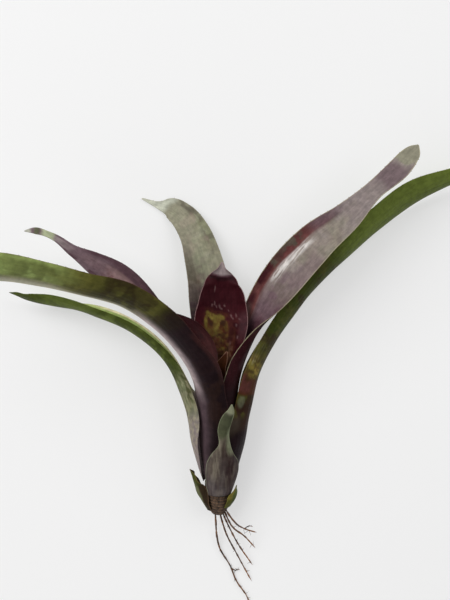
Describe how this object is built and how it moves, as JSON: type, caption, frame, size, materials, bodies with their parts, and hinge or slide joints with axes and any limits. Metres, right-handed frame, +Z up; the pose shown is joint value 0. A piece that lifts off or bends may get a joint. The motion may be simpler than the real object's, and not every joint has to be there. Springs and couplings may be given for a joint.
{
  "type": "neoregelia bromeliad",
  "caption": "Small neoregelia bromeliad with long arching channelled leaves, nested leaf sheaths and bare wiry roots, lying on its back.",
  "frame": {"origin": "on the surface that the plant lies on, under the middle of its footprint", "axes": "+Y along the plant from its roots to its leaves, +X to its right as seen from above, +Z up from the surface"},
  "size_m": [0.2978, 0.2478, 0.0997],
  "materials": {
    "heart_skin": "satin, waxy",
    "cup_skin": "satin, waxy, blotched",
    "back_skin": "matt, grey scales",
    "back_left_skin": "satin, waxy",
    "back_right_skin": "satin, streaked with grey scales",
    "front_left_skin": "satin, waxy, banded",
    "right_skin": "satin, waxy, banded",
    "left_skin": "satin, waxy",
    "short_front_skin": "satin, dry margin",
    "scale_left_skin": "matt, drying",
    "scale_right_skin": "matt",
    "root_skin": "matt, dry"
  },
  "bodies": {
    "root": {"leaf_heart": "heart_skin", "leaf_cup": "cup_skin", "leaf_back": "back_skin", "leaf_back_left": "back_left_skin", "leaf_back_right": "back_right_skin", "leaf_front_left": "front_left_skin", "leaf_right": "right_skin", "leaf_left": "left_skin", "leaf_short_front": "short_front_skin", "scale_left": "scale_left_skin", "scale_right": "scale_right_skin", "root_crown": "root_skin"}
  },
  "joints": []
}
